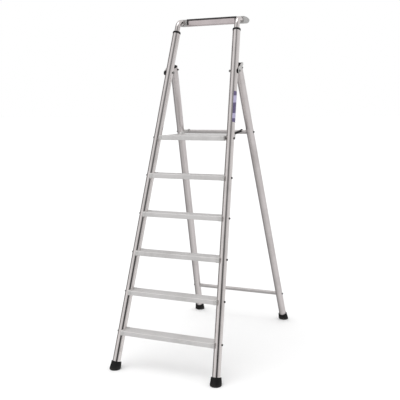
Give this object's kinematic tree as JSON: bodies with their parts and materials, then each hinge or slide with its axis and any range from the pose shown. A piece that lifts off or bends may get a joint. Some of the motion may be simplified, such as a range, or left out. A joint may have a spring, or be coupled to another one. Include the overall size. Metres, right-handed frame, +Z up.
{
  "type": "step ladder",
  "caption": "Free-standing platform step ladder with round stiles, flat grooved treads, a folding rear frame, and a handrail that carries a tool tray.",
  "frame": {"origin": "on the floor, midway between the four feet", "axes": "+X to the right of a person climbing, +Y from the front feet to the rear feet, +Z up"},
  "size_m": [0.7714, 1.423, 2.2045],
  "materials": {
    "polished_tube": "bright, lightly polished along the tube",
    "satin_aluminium": "satin mill finish, fine lines along the extrusion",
    "cast_fitting": "fine-blasted casting",
    "grey_plastic": "moulded, fine grain",
    "black_plastic": "moulded, slight sheen",
    "rubber_foot": "moulded rubber, dusty at the sole",
    "rubber_trim": "smooth edging",
    "plated_fastener": "zinc-plated, slightly dulled",
    "dark_fastener": "blackened, worn on the crown"
  },
  "bodies": {
    "front_frame": {"left_stile": "polished_tube", "right_stile": "polished_tube", "left_front_foot": "rubber_foot", "right_front_foot": "rubber_foot", "tread_1": "satin_aluminium", "tread_1_left_saddle": "cast_fitting", "tread_1_left_screw": "dark_fastener", "tread_1_right_saddle": "cast_fitting", "tread_1_right_screw": "dark_fastener", "tread_2": "satin_aluminium", "tread_2_left_saddle": "cast_fitting", "tread_2_left_screw": "dark_fastener", "tread_2_right_saddle": "cast_fitting", "tread_2_right_screw": "dark_fastener", "tread_3": "satin_aluminium", "tread_3_left_saddle": "cast_fitting", "tread_3_left_screw": "dark_fastener", "tread_3_right_saddle": "cast_fitting", "tread_3_right_screw": "dark_fastener", "tread_4": "satin_aluminium", "tread_4_left_saddle": "cast_fitting", "tread_4_left_screw": "dark_fastener", "tread_4_right_saddle": "cast_fitting", "tread_4_right_screw": "dark_fastener", "tread_5": "satin_aluminium", "tread_5_left_saddle": "cast_fitting", "tread_5_left_screw": "dark_fastener", "tread_5_right_saddle": "cast_fitting", "tread_5_right_screw": "dark_fastener", "left_handrail_collar": "black_plastic", "right_handrail_collar": "black_plastic", "left_handrail_arm": "polished_tube", "right_handrail_arm": "polished_tube", "tray": "satin_aluminium", "tray_edge_trim": "rubber_trim", "left_tray_end_cap": "grey_plastic", "right_tray_end_cap": "grey_plastic", "left_hinge_bolt": "plated_fastener", "right_hinge_bolt": "plated_fastener", "platform_left_pivot_bolt": "dark_fastener", "platform_right_pivot_bolt": "dark_fastener"},
    "rear_frame": {"left_rear_leg": "satin_aluminium", "right_rear_leg": "satin_aluminium", "left_rear_foot": "rubber_foot", "right_rear_foot": "rubber_foot", "left_hinge_knuckle": "cast_fitting", "right_hinge_knuckle": "cast_fitting", "left_knuckle_bolt": "plated_fastener", "right_knuckle_bolt": "plated_fastener", "upper_crossbar": "satin_aluminium", "lower_crossbar": "satin_aluminium", "upper_crossbar_left_bolt": "dark_fastener", "upper_crossbar_right_bolt": "dark_fastener", "lower_crossbar_left_bolt": "dark_fastener", "lower_crossbar_right_bolt": "dark_fastener"},
    "platform": {"platform": "satin_aluminium", "platform_left_end_cap": "cast_fitting", "platform_right_end_cap": "cast_fitting", "left_platform_hook": "cast_fitting", "right_platform_hook": "black_plastic"}
  },
  "joints": [
    {"name": "rear_fold", "type": "hinge", "parent": "front_frame", "child": "rear_frame", "pos_m": [0, -0.0541, 1.845], "axis": [-1, 0, 0], "range_deg": [0, 37.5]},
    {"name": "platform_tilt", "type": "hinge", "parent": "front_frame", "child": "platform", "pos_m": [0, -0.1959, 1.425], "axis": [1, 0, 0], "range_deg": [0, 71]}
  ],
  "couplings": [
    {"joint": "platform_tilt", "follows": "rear_fold", "ratio": 1.88}
  ]
}
